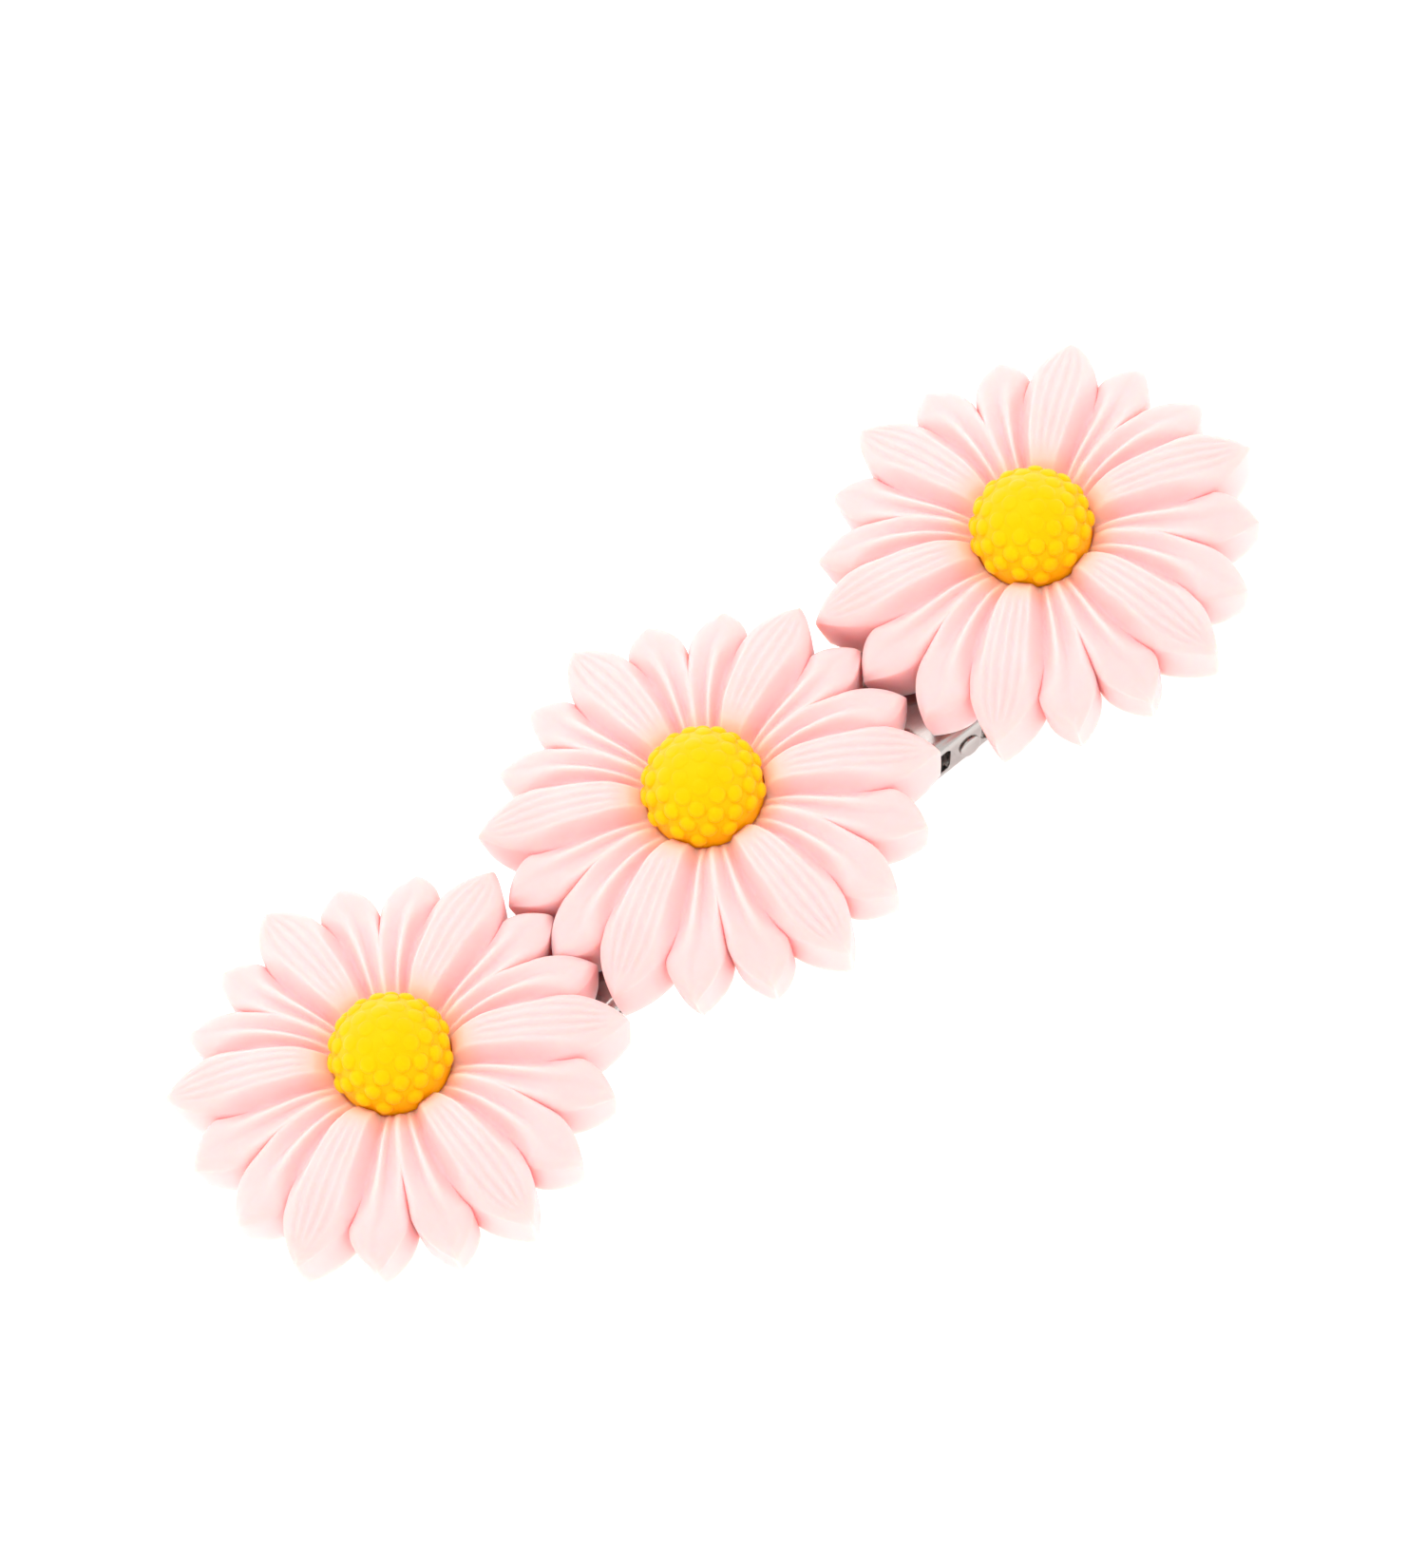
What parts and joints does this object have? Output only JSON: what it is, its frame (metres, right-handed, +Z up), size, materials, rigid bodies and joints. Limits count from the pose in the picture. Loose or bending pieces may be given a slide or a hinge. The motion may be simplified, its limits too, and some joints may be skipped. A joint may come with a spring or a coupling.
{
  "type": "flower hair clip",
  "caption": "Sprung metal hair clip whose flat top leaf carries a row of moulded daisies with domed centres; squeezing the finger pads opens the lower jaw.",
  "frame": {"origin": "on the flat underside of the lower jaw, on the clip's centre line, below the middle daisy", "axes": "+X along the clip from the jaw tip to the finger pads, +Y across it, +Z up, the way the daisies face"},
  "size_m": [0.0622, 0.023, 0.015],
  "materials": {
    "plated_steel": "bright nickel plating over formed steel sheet",
    "spring_wire": "drawn steel wire",
    "pink_resin": "satin moulded resin, pale pink",
    "yellow_resin": "satin moulded resin, bright yellow",
    "clear_glue": "set clear glue"
  },
  "bodies": {
    "clip_bottom": {"lower_leaf": "plated_steel"},
    "clip_top": {"upper_leaf": "plated_steel", "hinge_pin": "plated_steel", "torsion_spring": "spring_wire", "petal_rosette_left": "pink_resin", "petal_rosette_middle": "pink_resin", "petal_rosette_right": "pink_resin", "flower_centre_left": "yellow_resin", "flower_centre_middle": "yellow_resin", "flower_centre_right": "yellow_resin", "glue_pad_left": "clear_glue", "glue_pad_middle": "clear_glue", "glue_pad_right": "clear_glue"}
  },
  "joints": [
    {"name": "jaw_hinge", "type": "hinge", "parent": "clip_bottom", "child": "clip_top", "pos_m": [0.012, 0, 0.00152], "axis": [0, 1, 0], "range_deg": [0, 23], "stiffness_Nm_per_rad": 0.12, "springref_deg": -17.19, "deforming": ["torsion_spring"]}
  ]
}
